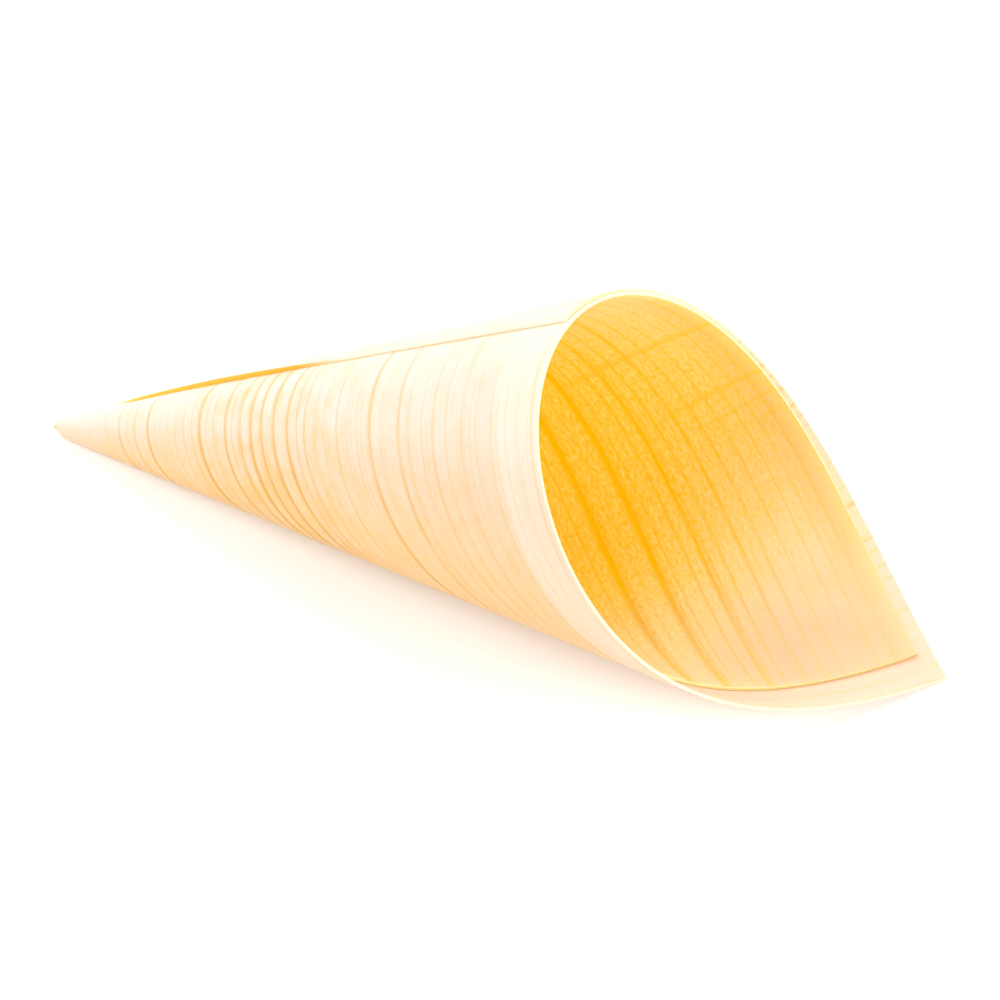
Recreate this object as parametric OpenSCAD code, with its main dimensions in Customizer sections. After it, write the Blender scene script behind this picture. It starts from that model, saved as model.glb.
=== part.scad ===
// Food cone rolled from one sheet of thin wood veneer.
// The flat blank is a rectangle. Its tip lies near the middle of one long edge, and the blank is rolled
// about that tip into a cone of nearly two turns. The other long edge becomes the mouth, with the pointed lip
// at its outer corner. The half of the tip edge that stays outside is the seam.
// All sizes are in millimetres and degrees. +Z is up, and the cone lies on its side, mouth towards +X.

/* [Blank] */
// Length of the blank, along the grain
blank_length = 250.5; // [240:0.5:262]
// Width of the blank, across the grain
blank_width = 126; // [110:1:150]
// Thickness of the veneer
veneer = 0.6; // [0.4:0.05:0.9]
// Distance along the grain from the blank's inner end to the tip
tip_from_inner_end = 118.5; // [112:0.5:124]

/* [Roll] */
// Full angle of the cone
cone_angle = 28.5; // [26:0.25:32]
// Width of the hollow at the tip, where the sheet is rolled tightest
tip_hole = 1.5; // [1.3:0.1:3]
// How far the end of the tip is pinched in from that hollow
tip_pinch = 0.55; // [0:0.05:0.6]
// Length of the pinched end
pinch_length = 1.5; // [0.8:0.1:1.5]
// Clearance between one turn and the next
turn_gap = 0.05; // [0.05:0.01:0.2]
// How far the mouth is drawn out to an oval
mouth_oval = 0.65; // [0:0.05:1]
// Turn at which the oval stands out most, counted from the seam
oval_at = 8; // [-45:1:45]
// How far the mouth bulges at three lobes
mouth_lobe = 0.55; // [0:0.05:0.8]
// Turn at which the first lobe stands out most, counted from the seam
lobe_at = 12; // [-30:1:30]

/* [Seam] */
// How far the free edge has sprung open
seam_lift = 0.3; // [0:0.1:2]
// Distance from the apex at which the free edge stands furthest open
lift_at = 50; // [30:1:70]
// Length of the open stretch on each side of that point
lift_reach = 30; // [15:1:30]
// Part of a turn over which the open stretch leaves the turn below
lift_arc = 70; // [40:5:120]

/* [Rest] */
// Part of a turn that lies flat on the surface below the cone
rest_flat = 12; // [4:8:20]

/* [Hidden] */

// Facets: degrees from one generator to the next, bands along each generator, the least length of the band
// at the tip edge, and how much the other bands narrow towards it
turn_step = 4;
bands = 10;
tip_band = 0.6;
band_taper = 1.8;
// Cells of the flat blank, along and across the grain, for the centre of mass
cells_along = 80;
cells_across = 40;

half_angle = cone_angle / 2;
turn_pitch = veneer + turn_gap;
// The apex lies beyond the sheet, so that the tip rolls round its pinhole
apex_gap = (tip_hole + veneer) / 2 / sin(half_angle);
mouth_edge = apex_gap + blank_width;
inner_end = -tip_from_inner_end;
outer_end = blank_length - tip_from_inner_end;

// Out-of-round of the wall as a change of half angle, largest at the oval and the lobes
oval_angle = mouth_oval / mouth_edge * 180 / PI;
lobe_angle = mouth_lobe / mouth_edge * 180 / PI;
function local_half_angle(turn) =
    half_angle + oval_angle * cos(2 * (turn - oval_at)) + lobe_angle * cos(3 * (turn - lobe_at));

// Bearing of a generator on the flat blank, seen from the apex and counted from the line square to the mouth
// edge. The arc round the cone is as long as the arc on the flat blank, so the veneer isn't stretched.
function wobble(turn) =
    cos(half_angle) * (oval_angle / 2 * (sin(2 * (turn - oval_at)) + sin(2 * oval_at))
                     + lobe_angle / 3 * (sin(3 * (turn - lobe_at)) + sin(3 * lobe_at)));
function bearing_at(turn) = sin(half_angle) * turn + wobble(turn);
function turn_at(bearing, passes = 6) =
    passes == 0 ? bearing / sin(half_angle)
                : (bearing - wobble(turn_at(bearing, passes - 1))) / sin(half_angle);

// Turns at which the generators meet the blank's four corners
start_turn = turn_at(atan2(inner_end, apex_gap));
inner_corner_turn = turn_at(atan2(inner_end, mouth_edge));
lip_corner_turn = turn_at(atan2(outer_end, mouth_edge));
seam_turn = turn_at(atan2(outer_end, apex_gap));

// Distances from the apex at which a generator enters the blank at its tip edge and leaves it at another edge
function near_distance(turn) = apex_gap / cos(bearing_at(turn));
function far_distance(turn) =
    turn < inner_corner_turn ? inner_end / sin(bearing_at(turn))
  : turn > lip_corner_turn ? outer_end / sin(bearing_at(turn))
  : mouth_edge / cos(bearing_at(turn));

// Height by which the free end stands off the turn below it, where the seam has sprung open
function smooth(x) = let (u = min(1, max(0, x))) u * u * (3 - 2 * u);
function edge_turn(distance) = turn_at(acos(min(1, apex_gap / distance)));
function lift(turn, distance) =
    seam_lift * smooth(1 - (edge_turn(distance) - turn) / lift_arc)
              * smooth(1 - abs(distance - lift_at) / lift_reach);

// Depth by which the end of the tip is pinched in, a given way along the axis from the apex
tip_start = apex_gap * cos(half_angle);
function pinch(along) = tip_pinch * min(1, max(0, 1 - (along - tip_start) / pinch_length));

// A point of the rolled sheet, with the apex at the origin and the axis along +X. Each turn is the same cone,
// moved towards the tip until it clears the turn below.
// side is -1 on the inner face, 0 in the middle and 1 on the outer face.
// share is the part of the round wall's radius that is left at that turn.
function turn_shift(turn) = turn_pitch / sin(half_angle) * turn / 360;
function rolled(turn, distance, side, share = 1) =
    let (angle = local_half_angle(turn))
    let (off = side * veneer / 2 + lift(turn, distance))
    let (middle = distance * cos(angle) - turn_shift(turn))
    let (along = middle - off * sin(angle))
    let (out = share * (distance * sin(angle) + off * cos(angle) - pinch(middle)))
    [along, -out * sin(turn), out * cos(turn)];

// Centre of mass of the sheet, from equal cells of the flat blank, and the turn of the outside below it
cells = [for (i = [0.5 : cells_along], j = [0.5 : cells_across])
    let (x = inner_end + blank_length * i / cells_along)
    let (y = apex_gap + blank_width * j / cells_across)
    rolled(turn_at(atan2(x, y)), norm([x, y]), 0)];
centre_of_mass = [for (c = cells) 1] * cells / len(cells);
heavy_turn = (atan2(-centre_of_mass[1], centre_of_mass[2]) + 360) % 360;

// The cone comes to rest on that turn, where the thin wall lies flat in a strip from the tip to the lip
function from_rest(turn) = (turn - heavy_turn + 900) % 360 - 180;
function flat_share(turn) =
    abs(from_rest(turn)) < rest_flat / 2 ? cos(rest_flat / 2) / cos(from_rest(turn)) : 1;
function pressed(turn, distance, side) = rolled(turn, distance, side, flat_share(turn));

// Generators: a regular spacing to each side of the middle of the flat, with one exactly on each corner
function between(from, to) =
    [for (k = [ceil((from - heavy_turn) / turn_step + 0.6) : floor((to - heavy_turn) / turn_step + 0.4)])
        heavy_turn + (k - 0.5) * turn_step];
turns = concat(between(start_turn, inner_corner_turn), [inner_corner_turn],
               between(inner_corner_turn, lip_corner_turn), [lip_corner_turn],
               between(lip_corner_turn, seam_turn));
last = len(turns) - 1;
function pinch_distance(turn) = (tip_start + pinch_length + turn_shift(turn)) / cos(local_half_angle(turn));
function first_distance(turn) = max(near_distance(turn) + tip_band, pinch_distance(turn));
function distance_at(turn, band) =
    let (first = first_distance(turn))
    band == 0 ? near_distance(turn)
              : first + (far_distance(turn) - first) * pow((band - 1) / (bands - 1), band_taper);

// Directions of the flat strip, which starts clear of the pinch: along it to the mouth, down and to the left
strip = [heavy_turn - rest_flat / 2, heavy_turn + rest_flat / 2];
strip_near = [for (t = strip) pressed(t, first_distance(t), 1)];
strip_far = [for (t = strip) pressed(t, far_distance(t), 1)];
function unit(v) = v / norm(v);
forward = unit(strip_far[0] + strip_far[1] - strip_near[0] - strip_near[1]);
down = unit(cross(strip_far[1] - strip_far[0], forward));
left = cross(forward, down);
function laid(p) = [p * forward, p * left, -p * down];

// The two faces of the sheet, generator by generator, with the two end corners of the tip edge after them
outer_face = [for (t = turns, j = [0 : bands]) laid(pressed(t, distance_at(t, j), 1))];
inner_face = [for (t = turns, j = [0 : bands]) laid(pressed(t, distance_at(t, j), -1))];
end_corners = [for (t = [start_turn, seam_turn], side = [1, -1]) laid(pressed(t, near_distance(t), side))];
sheet_points = concat(outer_face, inner_face, end_corners);

// The origin is under the middle of the cone, on the surface that it lies on
function low(k) = min([for (p = sheet_points) p[k]]);
function high(k) = max([for (p = sheet_points) p[k]]);
origin = [(low(0) + high(0)) / 2, (low(1) + high(1)) / 2, low(2)];

function outer(i, j) = i * (bands + 1) + j;
function inner(i, j) = len(outer_face) + outer(i, j);
start_corner = 2 * len(outer_face);
seam_corner = start_corner + 2;

module veneer_cone() {
    walls = [for (i = [0 : last - 1], j = [0 : bands - 1]) each [
        [outer(i, j), outer(i, j + 1), outer(i + 1, j + 1), outer(i + 1, j)],
        [inner(i, j), inner(i + 1, j), inner(i + 1, j + 1), inner(i, j + 1)]]];
    edges = [for (i = [0 : last - 1]) each [
        [outer(i, 0), outer(i + 1, 0), inner(i + 1, 0), inner(i, 0)],
        [outer(i, bands), inner(i, bands), inner(i + 1, bands), outer(i + 1, bands)]]];
    start_end = concat(
        [for (j = [0 : bands - 1]) each [
            [start_corner, outer(0, j + 1), outer(0, j)],
            [start_corner + 1, inner(0, j), inner(0, j + 1)]]],
        [[start_corner, outer(0, 0), inner(0, 0), start_corner + 1],
         [start_corner, start_corner + 1, inner(0, bands), outer(0, bands)]]);
    seam_end = concat(
        [for (j = [0 : bands - 1]) each [
            [seam_corner, outer(last, j), outer(last, j + 1)],
            [seam_corner + 1, inner(last, j + 1), inner(last, j)]]],
        [[seam_corner, seam_corner + 1, inner(last, 0), outer(last, 0)],
         [seam_corner, outer(last, bands), inner(last, bands), seam_corner + 1]]);
    color("wheat") translate(-origin)
        polyhedron(points = sheet_points, faces = concat(walls, edges, start_end, seam_end));
}

veneer_cone();
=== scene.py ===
"""A food cone rolled from one sheet of thin wood veneer, lying on a pale floor under soft studio light."""
import math

import bmesh
import bpy
from mathutils import Matrix, Vector


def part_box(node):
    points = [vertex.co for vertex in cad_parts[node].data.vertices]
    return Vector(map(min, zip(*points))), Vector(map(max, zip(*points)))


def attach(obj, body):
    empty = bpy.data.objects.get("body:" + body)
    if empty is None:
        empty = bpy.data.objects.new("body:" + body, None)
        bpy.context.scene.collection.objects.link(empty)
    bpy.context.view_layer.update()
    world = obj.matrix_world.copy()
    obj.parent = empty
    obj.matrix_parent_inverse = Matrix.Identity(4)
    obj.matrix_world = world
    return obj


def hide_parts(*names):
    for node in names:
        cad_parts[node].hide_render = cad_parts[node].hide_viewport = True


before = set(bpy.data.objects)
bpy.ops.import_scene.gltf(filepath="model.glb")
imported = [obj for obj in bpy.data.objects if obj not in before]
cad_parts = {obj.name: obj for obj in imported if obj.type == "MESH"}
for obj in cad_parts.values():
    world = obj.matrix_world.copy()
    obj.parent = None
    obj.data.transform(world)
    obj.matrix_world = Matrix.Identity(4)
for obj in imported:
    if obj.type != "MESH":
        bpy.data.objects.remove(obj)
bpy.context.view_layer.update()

NODE = "veneer_cone"
MM = 0.001

# The flat blank and its roll, in millimetres and degrees. They are the part's own sizes, apart from the
# tip, which is pinched to a finer point here, and SEAM_CLOSE, by which the free end's inner face reaches
# down onto the turn below.
BLANK_LENGTH = 250.5
BLANK_WIDTH = 126.0
VENEER = 0.6
TIP_FROM_INNER_END = 118.5
HALF_ANGLE = 14.25
TIP_HOLE = 1.5
TIP_PINCH = 1.05
PINCH_LENGTH = 2.2
TURN_GAP = 0.05
MOUTH_OVAL = 0.65
OVAL_AT = 8.0
MOUTH_LOBE = 0.55
LOBE_AT = 12.0
SEAM_LIFT = 0.3
LIFT_AT = 50.0
LIFT_REACH = 30.0
LIFT_ARC = 70.0
SEAM_CLOSE = 0.1
# The strip that the cone lies on: the turn at its middle, its part of a turn, and where it starts
REST_TURN = 191.24
REST_FLAT = 12.0
REST_FROM = 9.0

APEX_GAP = (TIP_HOLE + VENEER) / 2 / math.sin(math.radians(HALF_ANGLE))
MOUTH_EDGE = APEX_GAP + BLANK_WIDTH
INNER_END = -TIP_FROM_INNER_END
OUTER_END = BLANK_LENGTH - TIP_FROM_INNER_END
OVAL_ANGLE = math.degrees(MOUTH_OVAL / MOUTH_EDGE)
LOBE_ANGLE = math.degrees(MOUTH_LOBE / MOUTH_EDGE)

# Mesh of the sheet: columns between the blank's corners, and rows from the tip edge to the far edges, which
# crowd towards the tip
COLUMNS = (90, 180, 90)
ROWS = 64
ROW_TAPER = 1.5
COLUMN_SLACK = 1e-6
# Millimetres: rounding of the cut edges, least distance of a vertex from the axis and merging distance
EDGE_ROUND = 0.07
LEAST_RADIUS = 0.06
MERGE_WITHIN = 0.001
# Least lean of a face away from the axis or towards it, for it to count as the outside or the inside, and
# the angle past which an edge is sharp
FACE_LEAN = 0.5
SHARP_ANGLE = 25.0
# Material slots of the piece, in order
OUTSIDE, INSIDE, EDGE = range(3)

# Growth rings, which run through the whole sheet: millimetres across the grain, soft half width and
# strength. Each ends more sharply on the side away from the tip. They are drawn a window at a time.
RING_WINDOW = 20
RING_RANGE = 140
RING_SHARP = 0.6
RINGS = (
    (12.0, 0.4, 0.15), (15.0, 0.4, 0.15), (19.5, 0.4, 0.20), (23.1, 0.6, 0.50), (25.3, 0.4, 0.20),
    (27.3, 0.5, 0.50), (30.8, 0.6, 0.75), (33.0, 0.4, 0.20), (34.6, 0.4, 0.20), (36.2, 0.4, 0.25),
    (38.0, 0.5, 0.25), (40.3, 0.5, 0.25), (42.5, 0.5, 0.30), (44.7, 0.8, 1.00), (46.6, 0.4, 0.30),
    (48.3, 0.5, 0.40), (51.5, 0.7, 0.85), (53.1, 0.4, 0.30), (55.3, 0.9, 0.60), (58.1, 1.0, 0.95),
    (60.9, 0.8, 0.80), (64.1, 1.0, 0.90), (67.7, 0.7, 1.00), (70.1, 0.6, 0.55), (72.1, 0.6, 0.50),
    (74.8, 0.6, 0.20), (77.2, 0.6, 0.20), (80.3, 0.5, 0.50), (83.0, 0.5, 0.20), (85.4, 0.5, 0.40),
    (88.8, 1.0, 0.95), (92.3, 0.5, 0.25), (96.0, 0.9, 0.90), (98.5, 0.5, 0.40), (101.8, 0.6, 0.45),
    (104.5, 0.7, 0.60), (107.8, 0.6, 0.45), (111.6, 0.7, 0.55), (115.3, 0.6, 0.40), (118.8, 0.5, 0.35),
    (122.5, 0.5, 0.30), (125.4, 0.5, 0.30), (128.6, 0.5, 0.35))
# Broad soft bands that lie behind some rings inside the hollow, and the share of their width that is even
INNER_BANDS = ((89.4, 2.2, 0.80), (96.5, 2.1, 0.80), (105.2, 1.6, 0.60))
BAND_FLAT = 0.45
# Painted shadows of the outer turn's rings, as light through the thin inner turn shows them on it:
# millimetres towards the inner end
CROSS_RING_SHADOWS = ((41.4, 1.4, 0.80), (55.8, 1.3, 0.80), (60.2, 1.2, 0.55), (64.0, 1.2, 0.35))
# The rings climb a little along the grain, bend once near the middle of the sheet and waver. The bend is a
# soft change, as the zones below are. A waver has a scale per millimetre along the grain and across it, a
# seed and a swing in millimetres.
RING_TILT = 0.011
RING_BEND = (-40.0, 10.0, 1.1, 0.0)
RING_WAVERS = ((0.02, 0.02, 3.0, 0.6), (0.12, 0.3, 7.0, 0.4))

# Marks in the wood, as clouds: scale per millimetre along the grain and across it, detail, and the values
# between which a mark goes from none to full
RING_BREAKS = (0.06, 0.25, 2.0, 0.30, 0.65)
FIBRE = (0.02, 1.7, 3.0, 0.45, 0.80)
FLECK = (0.7, 2.2, 3.0, 0.52, 0.70)
MOTTLE = (0.16, 0.22, 4.0, 0.35, 0.70)
GRAIN = (0.9, 1.6, 4.0, 0.30, 0.68)
# Share of a ring that is left where it breaks, and the seeds of the clouds
BROKEN_RING = 0.6
OUTER_SEED = 11.0
INNER_SEED = 31.0
GRAIN_SEED = 41.0
# Strength of the marks: fibre, fleck and rings outside, and inside grain, fibre, fleck, painted shadows of
# the cross rings, bands and rings
OUTER_MARKS = (0.35, 0.25, 1.5)
INNER_MARKS = (1.0, 0.20, 0.50, 0.65, 0.9, 1.1)
# Share of a mark that is always there, and the share that a zone or another mark adds
# The outside's marks grow with its painted shade and fade on its painted lit side
DEPTH_BY_SHADE = (0.55, 0.45)
MOTTLE_BY_BELT = (0.35, 0.45)
# The inside's grain and flecks grow with the painted shade half way round the hollow
GRAIN_BY_DEEP_SHADE = (0.10, 0.75)
FLECK_BY_DEEP_SHADE = (0.45, 0.75)
BAND_BY_FLECK = (0.6, 1.0)
INNER_MOTTLING = 0.35

# Zones of the outside, each a soft change: where it starts and ends, and the share before and after it.
# They are in degrees of turn, then in millimetres from the apex, then in millimetres across the grain.
# Painted light and shade of the outside: a warmer shaded tone over these turns, on the side towards the
# floor, and the lit pale tone along the seam on the upper side; less painted shade near the tip
PAINTED_SHADE_FROM = (6.0, 114.0, 0.0, 1.0)
PAINTED_SHADE_TO = (270.0, 345.0, 1.0, 0.2)
TIP_LESS_SHADE = (6.0, 28.0, 0.6, 1.0)
TIP_CALM = (10.0, 26.0, 0.35, 1.0)
# Painted shade at the very tip, where the hollow end of the roll lies in shadow
TIP_SHADE_ZONE = (7.2, 5.6, 0.0, 0.7)
BELT_FROM = (36.0, 48.0, 0.0, 1.0)
BELT_TO = (90.0, 70.0, 0.0, 1.0)
RINGS_TO_RIM = (72.0, 96.0, 1.0, 0.6)
OUTER_RIM_STRIP = (118.5, 121.5, 0.0, 0.6)

# Zones of the inside, in millimetres along the grain. The zone half way round the hollow is painted shade
# and warm bounced light; each of its ends leans: it has a place across the grain where it stands as given,
# and a lean.
DEEP_SHADE_FROM = (-109.0, -60.0, 0.0, 1.0)
DEEP_SHADE_FROM_LEAN = (102.0, -0.54)
DEEP_SHADE_TO = (-52.0, 10.0, 1.0, 0.0)
DEEP_SHADE_TO_LEAN = (104.0, 0.5)
# Painted shade: the inside near the inner end and the lip is darkened where the lamp through the mouth would
# light it
LIP_SHADE_FROM = (-82.0, -112.0, 0.0, 0.9)
PALE_END = (-78.0, -98.0, 0.0, 1.0)
STRIP_FROM = (20.0, 60.0, 0.0, 1.0)
STRIP_RINGS = (20.0, 60.0, 1.1, 0.7)
BANDS_TO = (-30.0, -42.0, 0.0, 1.0)
# Painted shade along the inside by the rim, darkened where lamp light would fall on it
RIM_SHADE_FROM = (-15.0, -35.0, 0.0, 1.0)
RIM_SHADE_TO = (-112.0, -90.0, 0.25, 1.0)
# The same, across the grain, and last in the sum of both, for the painted shadows of the cross rings
DEEP_SHADE_ACROSS = (130.0, 92.0, 0.68, 1.0)
TAIL_TO_LIP_SHADE = (86.0, 110.0, 0.0, 1.0)
STRIP_TO_BAND = (80.0, 118.0, 0.0, 1.0)
INNER_RIM_SHADE_STRIP = (119.0, 131.0, 0.0, 0.8)
CROSS_SHADOW_FROM = (46.0, 60.0, 0.0, 1.0)

# Zones of the cut edges: along the grain, across it, then through the sheet, from 0 outside to 1 inside
# Painted shade: deep orange on the free edge where the seam has sprung open, for the shaded gap under it
OPEN_SHADE_FROM = (16.0, 26.0, 0.0, 1.0)
OPEN_SHADE_TO = (66.0, 80.0, 1.0, 0.0)
END_FROM = (50.0, 90.0, 0.0, 1.0)
END_PALE = (30.0, 80.0, 0.0, 1.0)
OUTER_LINE = (0.20, 0.08, 0.0, 0.5)
# Painted contact shade: the golden line on the seam edge's side against the turn below
SEAM_CONTACT_SHADE = (0.65, 0.80, 0.0, 1.0)
TAIL_LINE = (0.70, 0.90, 0.0, 1.0)
# Millimetres from the blank's outline within which a place belongs to a cut edge
EDGE_DEPTH = 0.3

# Finish of the faces and the cut edges, with the depth of the relief in millimetres
WOOD_ROUGHNESS = 0.5
EDGE_ROUGHNESS = 0.6
INNER_SHINE = 0.05
RELIEF_STRENGTH = 0.25
RELIEF_DEPTH = 0.06
FIBRE_RELIEF = 0.6

# Tones of the wood, as base colours, several with painted light and shade in them: the outside is pale on
# its lit upper side and a warmer shaded tone on the side towards the floor, the tip is browner for painted
# shade, the inside's tones are more saturated orange than the outside's for the shade and warm bounced light
# of the hollow, darker still for painted shade at the lip and by the rim, and the seam's free edge is a
# painted highlight with painted shade.
OUTER_PAINTED_LIT = (0.74, 0.57, 0.49)
OUTER_PAINTED_SHADE = (0.75, 0.475, 0.225)
OUTER_MOTTLE = (0.74, 0.42, 0.13)
OUTER_RIM = (0.77, 0.64, 0.52)
OUTER_DARK = (0.60, 0.29, 0.01)
TIP_PAINTED_SHADE = (0.64, 0.43, 0.17)
INNER_PALE = (0.87, 0.645, 0.40)
INNER_DEEP_SHADE = (0.87, 0.65, 0.13)
INNER_MOTTLE = (0.86, 0.58, 0.17)
INNER_LIP_SHADE = (0.72, 0.40, 0.25)
INNER_TAIL = (0.78, 0.51, 0.28)
INNER_BAND = (0.80, 0.485, 0.37)
INNER_STRIP = (0.86, 0.61, 0.43)
INNER_RIM_SHADE = (0.76, 0.475, 0.185)
INNER_DARK = (0.79, 0.475, 0.0005)
PALE_DARK = (0.69, 0.41, 0.085)
EDGE_PALE = (0.72, 0.575, 0.36)
EDGE_LINE = (0.74, 0.70, 0.30)
EDGE_FREE_LIT = (0.86, 0.80, 0.66)
SEAM_GAP_SHADE = (0.80, 0.43, 0.02)
EDGE_END = (0.48, 0.40, 0.12)

# The photograph's view: degrees round the cone, above it and about the line of sight, then millimetres
VIEW_AZIMUTH = 32.433
VIEW_ELEVATION = 52.497
VIEW_ROLL = -12.933
VIEW_DISTANCE = 1272.64
VIEW_TARGET = (2.86, -0.1, 13.952)
LENS = 252.0
SENSOR = 36.0
# The stage: half the floor's side in metres, its tone and roughness, and the strength of the light around
FLOOR_HALF = 3.0
FLOOR_TONE = (0.95, 0.95, 0.95, 1.0)
FLOOR_ROUGHNESS = 0.8
ROOM_LIGHT = 0.28


def sind(angle):
    return math.sin(math.radians(angle))


def cosd(angle):
    return math.cos(math.radians(angle))


def clamp(value):
    return min(1.0, max(0.0, value))


def smooth(value):
    u = clamp(value)
    return u * u * (3 - 2 * u)


def local_half_angle(turn):
    return HALF_ANGLE + OVAL_ANGLE * cosd(2 * (turn - OVAL_AT)) + LOBE_ANGLE * cosd(3 * (turn - LOBE_AT))


def wobble(turn):
    oval = OVAL_ANGLE / 2 * (sind(2 * (turn - OVAL_AT)) + sind(2 * OVAL_AT))
    lobe = LOBE_ANGLE / 3 * (sind(3 * (turn - LOBE_AT)) + sind(3 * LOBE_AT))
    return cosd(HALF_ANGLE) * (oval + lobe)


def bearing_at(turn):
    return sind(HALF_ANGLE) * turn + wobble(turn)


def turn_at(bearing, passes=6):
    turn = bearing / sind(HALF_ANGLE)
    for _ in range(passes):
        turn = (bearing - wobble(turn)) / sind(HALF_ANGLE)
    return turn


def corner_turn(along, across):
    return turn_at(math.degrees(math.atan2(along, across)))


START_TURN = corner_turn(INNER_END, APEX_GAP)
INNER_CORNER_TURN = corner_turn(INNER_END, MOUTH_EDGE)
LIP_CORNER_TURN = corner_turn(OUTER_END, MOUTH_EDGE)
SEAM_TURN = corner_turn(OUTER_END, APEX_GAP)


def near_distance(turn):
    return APEX_GAP / cosd(bearing_at(turn))


def far_distance(turn):
    bearing = bearing_at(turn)
    if turn < INNER_CORNER_TURN:
        return INNER_END / sind(bearing)
    if turn > LIP_CORNER_TURN:
        return OUTER_END / sind(bearing)
    return MOUTH_EDGE / cosd(bearing)


def free_end(turn, distance):
    """Nearness to the free edge along the seam: 1 at the edge, 0 where the sheet lies on the turn below."""
    edge = turn_at(math.degrees(math.acos(min(1.0, APEX_GAP / distance))))
    return smooth(1 - (edge - turn) / LIFT_ARC)


def lift(turn, distance):
    """Height by which the free end stands off the turn below, where the seam has sprung open."""
    return SEAM_LIFT * free_end(turn, distance) * smooth(1 - abs(distance - LIFT_AT) / LIFT_REACH)


def pinch(along):
    return TIP_PINCH * clamp(1 - (along - APEX_GAP * cosd(HALF_ANGLE)) / PINCH_LENGTH)


def flat_share(turn):
    """Part of the round wall's radius that is left on the strip that lies flat."""
    way = (turn - REST_TURN + 180) % 360 - 180
    return cosd(REST_FLAT / 2) / cosd(way) if abs(way) < REST_FLAT / 2 else 1.0


def rolled(turn, distance):
    """A point of the sheet's outer face, in millimetres, with the apex at the origin and the axis on +X."""
    angle = local_half_angle(turn)
    off = VENEER / 2 + lift(turn, distance)
    middle = distance * cosd(angle) - (VENEER + TURN_GAP) / sind(HALF_ANGLE) * turn / 360
    out = flat_share(turn) * (distance * sind(angle) + off * cosd(angle) - pinch(middle))
    return Vector((middle - off * sind(angle), -out * sind(turn), out * cosd(turn)))


def resting_axes():
    """Rows that turn the rolled cone onto the strip that it lies on: forwards, left and up."""
    turns = (REST_TURN - REST_FLAT / 2, REST_TURN + REST_FLAT / 2)
    near = [rolled(turn, REST_FROM) for turn in turns]
    far = [rolled(turn, far_distance(turn)) for turn in turns]
    forward = (far[0] + far[1] - near[0] - near[1]).normalized()
    down = (far[1] - far[0]).cross(forward).normalized()
    return Matrix((forward, forward.cross(down), -down))


def turn_of_column(share):
    """Turn at a share of the way along the grid, with a column exactly on each corner of the blank."""
    stops = (START_TURN, INNER_CORNER_TURN, LIP_CORNER_TURN, SEAM_TURN)
    column = share * sum(COLUMNS)
    for first, last, count in zip(stops, stops[1:], COLUMNS):
        if column <= count + COLUMN_SLACK:
            return first + (last - first) * column / count
        column -= count
    return SEAM_TURN


def roll_sheet(mesh):
    """Lays a flat grid over the blank, rolls it up, and gives it its thickness and softened edges."""
    bm = bmesh.new()
    bmesh.ops.create_grid(bm, x_segments=sum(COLUMNS), y_segments=ROWS, size=0.5)
    sheet = bm.verts.layers.float_vector.new("sheet")
    axes = resting_axes()
    for vert in bm.verts:
        turn = turn_of_column(vert.co.x + 0.5)
        near = near_distance(turn)
        distance = near + (far_distance(turn) - near) * (vert.co.y + 0.5) ** ROW_TAPER
        bearing = bearing_at(turn)
        vert[sheet] = (distance * sind(bearing), distance * cosd(bearing), turn)
        vert.co = axes @ rolled(turn, distance) * MM
    bmesh.ops.remove_doubles(bm, verts=bm.verts, dist=MERGE_WITHIN * MM)

    low = [min(v.co[k] for v in bm.verts) for k in range(3)]
    high = [max(v.co[k] for v in bm.verts) for k in range(3)]
    node_low, node_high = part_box(NODE)
    place = [(node_low[k] + node_high[k] - low[k] - high[k]) / 2 for k in range(2)] + [node_low[2] - low[2]]
    bmesh.ops.translate(bm, verts=bm.verts, vec=place)
    axis_point = axes @ Vector((0, 0, 0)) * MM + Vector(place)
    axis = axes @ Vector((1, 0, 0))

    def outwards(face):
        arm = face.calc_center_median() - axis_point
        return face.normal.dot((arm - axis * arm.dot(axis)).normalized())

    bm.normal_update()
    if sum(outwards(face) for face in bm.faces) < 0:
        bmesh.ops.reverse_faces(bm, faces=bm.faces)
    bmesh.ops.solidify(bm, geom=bm.faces[:], thickness=VENEER * MM)
    bm.normal_update()
    through = bm.verts.layers.float.new("through")
    for face in bm.faces:
        face.smooth = True
        way = outwards(face)
        face.material_index = OUTSIDE if way > FACE_LEAN else INSIDE if way < -FACE_LEAN else EDGE
        if face.material_index == INSIDE:
            for vert in face.verts:
                vert[through] = 1.0
    for vert in bm.verts:
        along, across, turn = vert[sheet]
        distance = math.hypot(along, across)
        arm = axes @ Vector((0, -sind(turn), cosd(turn)))
        vert.co += arm * max(0.0, LEAST_RADIUS * MM - arm.dot(vert.co - axis_point))
        vert.co -= arm * vert[through] * (lift(turn, distance) + SEAM_CLOSE * free_end(turn, distance)) * MM
    rims = [e for e in bm.edges if len({f.material_index for f in e.link_faces}) > 1]
    bmesh.ops.bevel(bm, geom=rims, offset=EDGE_ROUND * MM, offset_type="OFFSET", affect="EDGES",
                    segments=2, profile=0.5, material=-1)
    bm.to_mesh(mesh)
    bm.free()
    mesh.set_sharp_from_angle(angle=math.radians(SHARP_ANGLE))


# Sockets of a mixing node that carry colours: its two tones and its result
MIX_TONES = (6, 7)
MIX_RESULT = 2


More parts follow.
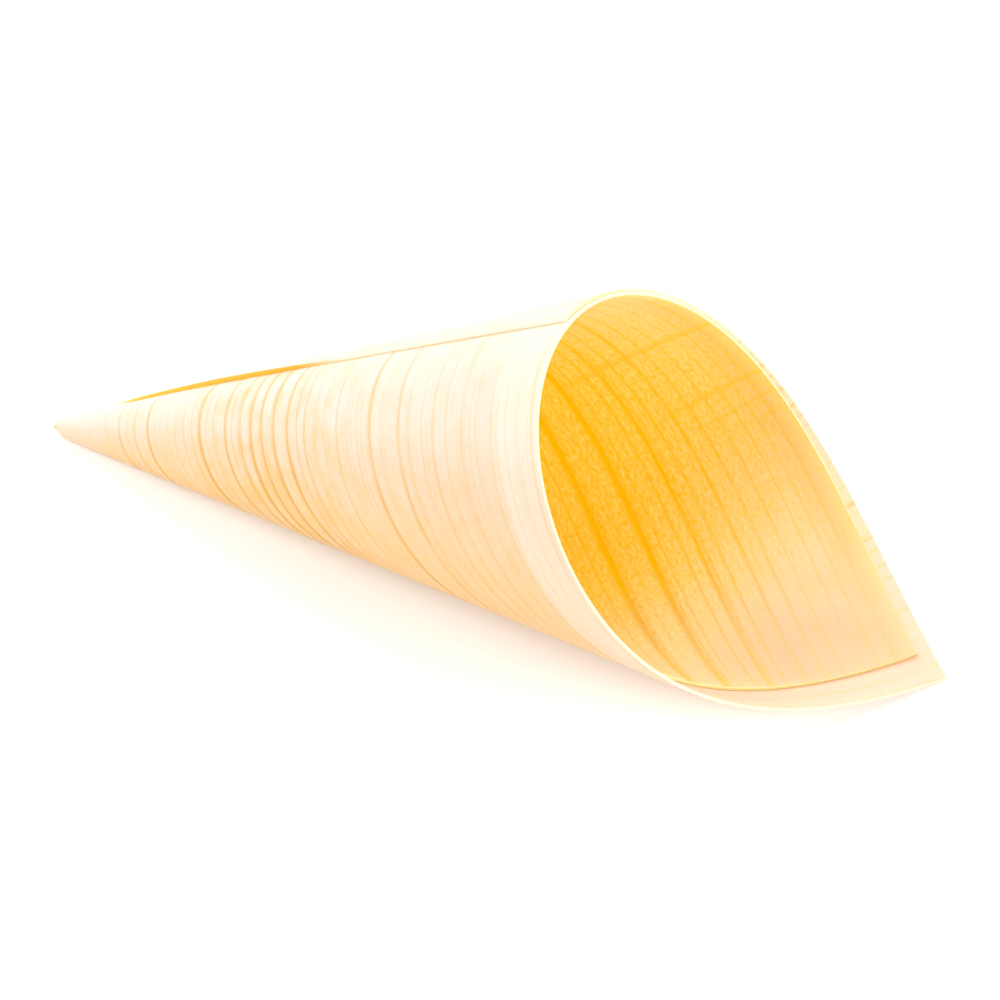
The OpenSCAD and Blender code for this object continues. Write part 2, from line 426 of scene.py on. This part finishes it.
class Graph:
    """The nodes of one material, with short ways to add and join them."""

    def __init__(self, name):
        self.material = bpy.data.materials.new(name)
        self.material.use_nodes = True
        self.tree = self.material.node_tree
        self.shader = self.tree.nodes["Principled BSDF"]

    def add(self, kind, **settings):
        node = self.tree.nodes.new(kind)
        for key, value in settings.items():
            setattr(node, key, value)
        return node

    def feed(self, socket, value):
        if isinstance(value, bpy.types.NodeSocket):
            self.tree.links.new(value, socket)
        else:
            socket.default_value = value

    def surface(self, name, value):
        self.feed(self.shader.inputs[name], value)

    def math(self, operation, *values):
        node = self.add("ShaderNodeMath", operation=operation)
        for socket, value in zip(node.inputs, values):
            self.feed(socket, value)
        return node.outputs[0]

    def times(self, first, second):
        return self.math("MULTIPLY", first, second)

    def plus(self, first, second):
        return self.math("ADD", first, second)

    def gain(self, value, least, rise):
        """The least share, plus the rise times the value."""
        return self.math("MULTIPLY_ADD", value, rise, least)

    def ease(self, value, start, end, before=0.0, after=1.0):
        """Goes smoothly from before to after while the value goes from start to end."""
        node = self.add("ShaderNodeMapRange", interpolation_type="SMOOTHSTEP")
        for socket, number in zip(node.inputs, (value, start, end, before, after)):
            self.feed(socket, number)
        return node.outputs[0]

    def sheet(self):
        """Place on the flat blank: millimetres along the grain and across it, and the turn of the roll."""
        attribute = self.add("ShaderNodeAttribute", attribute_name="sheet")
        split = self.add("ShaderNodeSeparateXYZ")
        self.feed(split.inputs[0], attribute.outputs["Vector"])
        return split.outputs[0], split.outputs[1], split.outputs[2]

    def noise(self, x, y, x_scale, y_scale, seed, detail=2.0):
        """Cloudy values about 0.5, with a scale per millimetre along the grain and across it."""
        place = self.add("ShaderNodeCombineXYZ")
        self.feed(place.inputs[0], self.times(x, x_scale))
        self.feed(place.inputs[1], self.times(y, y_scale))
        self.feed(place.inputs[2], seed)
        node = self.add("ShaderNodeTexNoise")
        self.feed(node.inputs["Vector"], place.outputs[0])
        self.feed(node.inputs["Scale"], 1.0)
        self.feed(node.inputs["Detail"], detail)
        return node.outputs[0]

    def cloud(self, x, y, mark, seed, least=0.0):
        """How much of a mark there is in the wood, from least to 1."""
        x_scale, y_scale, detail, start, end = mark
        return self.ease(self.noise(x, y, x_scale, y_scale, seed, detail), start, end, least)

    def mix(self, share, first, second):
        """The first tone, with a share of the second laid over it."""
        node = self.add("ShaderNodeMix", data_type="RGBA")
        self.feed(node.inputs[0], share)
        for socket, tone in zip(MIX_TONES, (first, second)):
            self.feed(node.inputs[socket], tone if isinstance(tone, bpy.types.NodeSocket) else (*tone, 1.0))
        return node.outputs[MIX_RESULT]

    def rings(self, across, rings, flat=0.0):
        """Darkness of a row of lines, each given by its place, its soft half width and its strength.

        flat is the share of a line's width that is evenly dark."""
        total = 0.0
        for start in range(0, RING_RANGE, RING_WINDOW):
            near = [ring for ring in rings if start <= ring[0] < start + RING_WINDOW]
            if not near:
                continue
            ramp = self.add("ShaderNodeValToRGB")
            stops = ramp.color_ramp.elements
            stops[0].color = stops[1].color = (0.0, 0.0, 0.0, 1.0)
            for place, soft, strength in near:
                # With no flat share, the two middle stops are one
                profile = {-1.0: 0.0, -flat: strength, flat * RING_SHARP: strength, RING_SHARP: 0.0}
                for side, value in profile.items():
                    stop = stops.new(clamp((place + side * soft - start) / RING_WINDOW))
                    stop.color = (value, value, value, 1.0)
            share = self.math("DIVIDE", self.math("SUBTRACT", across, start), RING_WINDOW)
            self.feed(ramp.inputs[0], share)
            total = self.plus(total, ramp.outputs[0])
        return total


def ring_place(graph, x, y):
    """Millimetres across the rings, which run almost along the grain and waver a little."""
    place = graph.math("SUBTRACT", y, graph.times(x, RING_TILT))
    place = graph.plus(place, graph.ease(x, *RING_BEND))
    for along, across, seed, swing in RING_WAVERS:
        cloud = graph.math("SUBTRACT", graph.noise(x, y, along, across, seed), 0.5)
        place = graph.plus(place, graph.times(cloud, swing))
    return place


def wood(name, seed):
    """Nodes of a veneer face: its place on the sheet, and how much of each mark there is in the wood."""
    graph = Graph(name)
    x, y, turn = graph.sheet()
    across = ring_place(graph, x, y)
    ring = graph.times(graph.rings(across, RINGS), graph.cloud(x, y, RING_BREAKS, seed, BROKEN_RING))
    fibre = graph.cloud(x, across, FIBRE, seed + 1)
    fleck = graph.cloud(x, y, FLECK, seed + 2)
    mottle = graph.cloud(x, y, MOTTLE, seed + 3)
    graph.surface("Roughness", WOOD_ROUGHNESS)
    relief = graph.add("ShaderNodeBump")
    graph.feed(relief.inputs["Strength"], RELIEF_STRENGTH)
    graph.feed(relief.inputs["Distance"], RELIEF_DEPTH * MM)
    graph.feed(relief.inputs["Height"], graph.math("SUBTRACT", graph.times(fibre, FIBRE_RELIEF), ring))
    graph.surface("Normal", relief.outputs[0])
    return graph, (x, y, turn, across), (ring, fibre, fleck, mottle)


def outside_wood():
    """Painted light and shade: pale, as lit, along the seam and at the tip, and a warmer shaded tone on the
    side that lies towards the floor, where the marks are also stronger.
    """
    graph, (x, y, turn, _), (ring, fibre, fleck, mottle) = wood("veneer_outside", OUTER_SEED)
    reach = graph.math("SQRT", graph.plus(graph.times(x, x), graph.times(y, y)))
    # Painted shade on the side towards the floor, with the pale lit tone along the seam
    painted_shade = graph.times(graph.ease(turn, *PAINTED_SHADE_FROM), graph.ease(turn, *PAINTED_SHADE_TO))
    painted_shade = graph.times(painted_shade, graph.ease(reach, *TIP_LESS_SHADE))
    # The marks are stronger where the painted shade is, fainter on the painted lit side
    depth = graph.times(graph.gain(painted_shade, *DEPTH_BY_SHADE), graph.ease(reach, *TIP_CALM))
    belt = graph.times(graph.ease(y, *BELT_FROM), graph.ease(y, *BELT_TO))
    mottle = graph.times(mottle, graph.gain(belt, *MOTTLE_BY_BELT))
    ring = graph.times(ring, graph.ease(y, *RINGS_TO_RIM))

    colour = graph.mix(painted_shade, OUTER_PAINTED_LIT, OUTER_PAINTED_SHADE)
    colour = graph.mix(graph.times(mottle, depth), colour, OUTER_MOTTLE)
    colour = graph.mix(graph.ease(y, *OUTER_RIM_STRIP), colour, OUTER_RIM)
    for mark, strength in zip((fibre, fleck, ring), OUTER_MARKS):
        share = graph.math("MINIMUM", 1.0, graph.times(mark, strength))
        colour = graph.mix(graph.times(share, depth), colour, OUTER_DARK)
    # Painted shade at the hollow tip
    colour = graph.mix(graph.ease(reach, *TIP_SHADE_ZONE), colour, TIP_PAINTED_SHADE)
    graph.surface("Base Color", colour)
    return graph.material


def deep_shade_share(graph, x, y):
    """Share of the painted shade and warm bounced light half way round the hollow, whose two ends lean and
    which fades towards the rim.
    """
    share = graph.ease(y, *DEEP_SHADE_ACROSS)
    for zone, (middle, lean) in ((DEEP_SHADE_FROM, DEEP_SHADE_FROM_LEAN), (DEEP_SHADE_TO, DEEP_SHADE_TO_LEAN)):
        leaning = graph.plus(x, graph.times(graph.math("SUBTRACT", y, middle), lean))
        share = graph.times(share, graph.ease(leaning, *zone))
    return share


def inside_wood():
    """Deep orange half way round the hollow, painted shade and warm bounced light, fading towards the rim;
    painted shade also darkens the lip and the inside by the rim; paler at the outer end of the sheet.
    """
    graph, (x, y, _, across), (ring, fibre, fleck, mottle) = wood("veneer_inside", INNER_SEED)
    deep = deep_shade_share(graph, x, y)
    outer_end = graph.ease(x, *STRIP_FROM)

    tail_or_lip_shade = graph.mix(graph.ease(y, *TAIL_TO_LIP_SHADE), INNER_TAIL, INNER_LIP_SHADE)
    strip_or_band = graph.mix(graph.ease(y, *STRIP_TO_BAND), INNER_STRIP, INNER_BAND)
    # Painted shade by the rim
    rim = graph.times(graph.ease(x, *RIM_SHADE_FROM), graph.ease(x, *RIM_SHADE_TO))
    rim = graph.times(rim, graph.ease(y, *INNER_RIM_SHADE_STRIP))
    colour = graph.mix(graph.times(mottle, INNER_MOTTLING), INNER_PALE, INNER_MOTTLE)
    # Painted shade at the inner end and the lip
    colour = graph.mix(graph.ease(x, *LIP_SHADE_FROM), colour, tail_or_lip_shade)
    # Painted shade and warm bounced light half way round the hollow
    colour = graph.mix(deep, colour, INNER_DEEP_SHADE)
    colour = graph.mix(rim, colour, INNER_RIM_SHADE)
    colour = graph.mix(outer_end, colour, strip_or_band)

    grain = graph.times(graph.cloud(x, y, GRAIN, GRAIN_SEED), graph.gain(deep, *GRAIN_BY_DEEP_SHADE))
    # Painted shadows of the outer turn's rings, seen through the thin veneer
    cross = graph.rings(graph.times(x, -1.0), CROSS_RING_SHADOWS)
    cross = graph.times(cross, graph.ease(graph.plus(x, y), *CROSS_SHADOW_FROM))
    band = graph.times(graph.rings(across, INNER_BANDS, BAND_FLAT), graph.ease(x, *BANDS_TO))
    band = graph.times(band, graph.gain(fleck, *BAND_BY_FLECK))
    fleck = graph.times(fleck, graph.gain(deep, *FLECK_BY_DEEP_SHADE))
    ring = graph.times(ring, graph.plus(graph.ease(x, *STRIP_RINGS), deep))
    dark = graph.mix(graph.plus(graph.ease(x, *PALE_END), outer_end), INNER_DARK, PALE_DARK)
    for mark, strength in zip((grain, fibre, fleck, cross, band, ring), INNER_MARKS):
        share = graph.math("MINIMUM", 1.0, graph.times(mark, strength))
        colour = graph.mix(share, colour, dark)
    graph.surface("Base Color", colour)
    graph.surface("Specular IOR Level", INNER_SHINE)
    return graph.material


def edge_wood():
    """The cut edges: pale with a thin golden line. The seam's free edge is paler still, a painted highlight,
    with a golden line of painted contact shade along the turn below, and deep orange painted shade where the
    seam has sprung open.
    """
    graph = Graph("veneer_edge")
    x, y, _ = graph.sheet()
    through = graph.add("ShaderNodeAttribute", attribute_name="through").outputs["Fac"]
    seam = graph.math("LESS_THAN", y, APEX_GAP + EDGE_DEPTH)
    inner_end = graph.math("LESS_THAN", x, INNER_END + EDGE_DEPTH)
    open_seam_shade = graph.times(graph.ease(x, *OPEN_SHADE_FROM), graph.ease(x, *OPEN_SHADE_TO))
    outer_end = graph.mix(graph.ease(y, *END_PALE), EDGE_LINE, INNER_BAND)
    # Painted highlight over most of the free edge, with a painted contact shade line next to the turn below
    free_edge_lit_and_shaded = graph.mix(graph.ease(through, *SEAM_CONTACT_SHADE), EDGE_FREE_LIT, EDGE_LINE)
    tail_edge = graph.mix(graph.ease(through, *TAIL_LINE), EDGE_END, INNER_TAIL)

    colour = graph.mix(graph.ease(x, *END_FROM), EDGE_PALE, outer_end)
    colour = graph.mix(graph.ease(through, *OUTER_LINE), colour, EDGE_LINE)
    colour = graph.mix(seam, colour, free_edge_lit_and_shaded)
    # Painted shade of the open seam's gap
    colour = graph.mix(graph.times(seam, open_seam_shade), colour, SEAM_GAP_SHADE)
    colour = graph.mix(inner_end, colour, tail_edge)
    graph.surface("Base Color", colour)
    graph.surface("Roughness", EDGE_ROUGHNESS)
    return graph.material


def make_cone():
    mesh = bpy.data.meshes.new("rolled_veneer")
    roll_sheet(mesh)
    for material in (outside_wood(), inside_wood(), edge_wood()):
        mesh.materials.append(material)
    piece = bpy.data.objects.new("rolled_veneer", mesh)
    bpy.context.scene.collection.objects.link(piece)
    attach(piece, "root")
    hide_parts(NODE)


def view_axes():
    """Right, up and back of the camera."""
    back = Vector((sind(VIEW_AZIMUTH) * cosd(VIEW_ELEVATION),
                   -cosd(VIEW_AZIMUTH) * cosd(VIEW_ELEVATION), sind(VIEW_ELEVATION)))
    right = Vector((0, 0, 1)).cross(back).normalized()
    up = back.cross(right)
    c, s = cosd(VIEW_ROLL), sind(VIEW_ROLL)
    return c * right + s * up, c * up - s * right, back


def make_camera():
    right, up, back = view_axes()
    data = bpy.data.cameras.new("camera")
    data.lens = LENS
    data.sensor_width = SENSOR
    camera = bpy.data.objects.new("camera", data)
    place = Matrix((right, up, back)).transposed().to_4x4()
    place.translation = Vector(VIEW_TARGET) * MM + back * VIEW_DISTANCE * MM
    camera.matrix_world = place
    bpy.context.scene.collection.objects.link(camera)
    bpy.context.scene.camera = camera


def make_floor():
    mesh = bpy.data.meshes.new("floor")
    bm = bmesh.new()
    bmesh.ops.create_grid(bm, x_segments=1, y_segments=1, size=FLOOR_HALF)
    bm.to_mesh(mesh)
    bm.free()
    graph = Graph("pale_floor")
    graph.surface("Base Color", FLOOR_TONE)
    graph.surface("Roughness", FLOOR_ROUGHNESS)
    mesh.materials.append(graph.material)
    floor = bpy.data.objects.new("floor", mesh)
    bpy.context.scene.collection.objects.link(floor)


def area_light(name, direction, distance, size, watts, colour):
    """A square soft box that faces the cone from a direction, given in metres and watts."""
    data = bpy.data.lights.new(name, "AREA")
    data.shape = "SQUARE"
    data.size = size
    data.energy = watts
    data.color = colour
    light = bpy.data.objects.new(name, data)
    back = Vector(direction).normalized()
    light.rotation_mode = "QUATERNION"
    light.rotation_quaternion = back.to_track_quat("Z", "Y")
    light.location = Vector(VIEW_TARGET) * MM + back * distance
    bpy.context.scene.collection.objects.link(light)


def make_light():
    right, up, back = view_axes()
    area_light("top_box", up + back * 0.1,
               distance=1.0, size=0.9, watts=13.0, colour=(0.96, 0.98, 1.0))
    area_light("mouth_box", Vector((0.95, -0.1, 0.3)),
               distance=1.0, size=0.6, watts=15.5, colour=(1.0, 0.98, 0.95))
    area_light("left_box", back * 0.4 - right * 0.8 + up * 0.2,
               distance=1.0, size=0.8, watts=10.5, colour=(0.98, 0.99, 1.0))
    world = bpy.data.worlds.new("studio")
    world.use_nodes = True
    sky = world.node_tree.nodes["Background"]
    sky.inputs["Color"].default_value = (1.0, 1.0, 1.0, 1.0)
    sky.inputs["Strength"].default_value = ROOM_LIGHT
    bpy.context.scene.world = world
    bpy.context.scene.view_settings.view_transform = "Standard"


make_camera()
make_floor()
make_light()
make_cone()
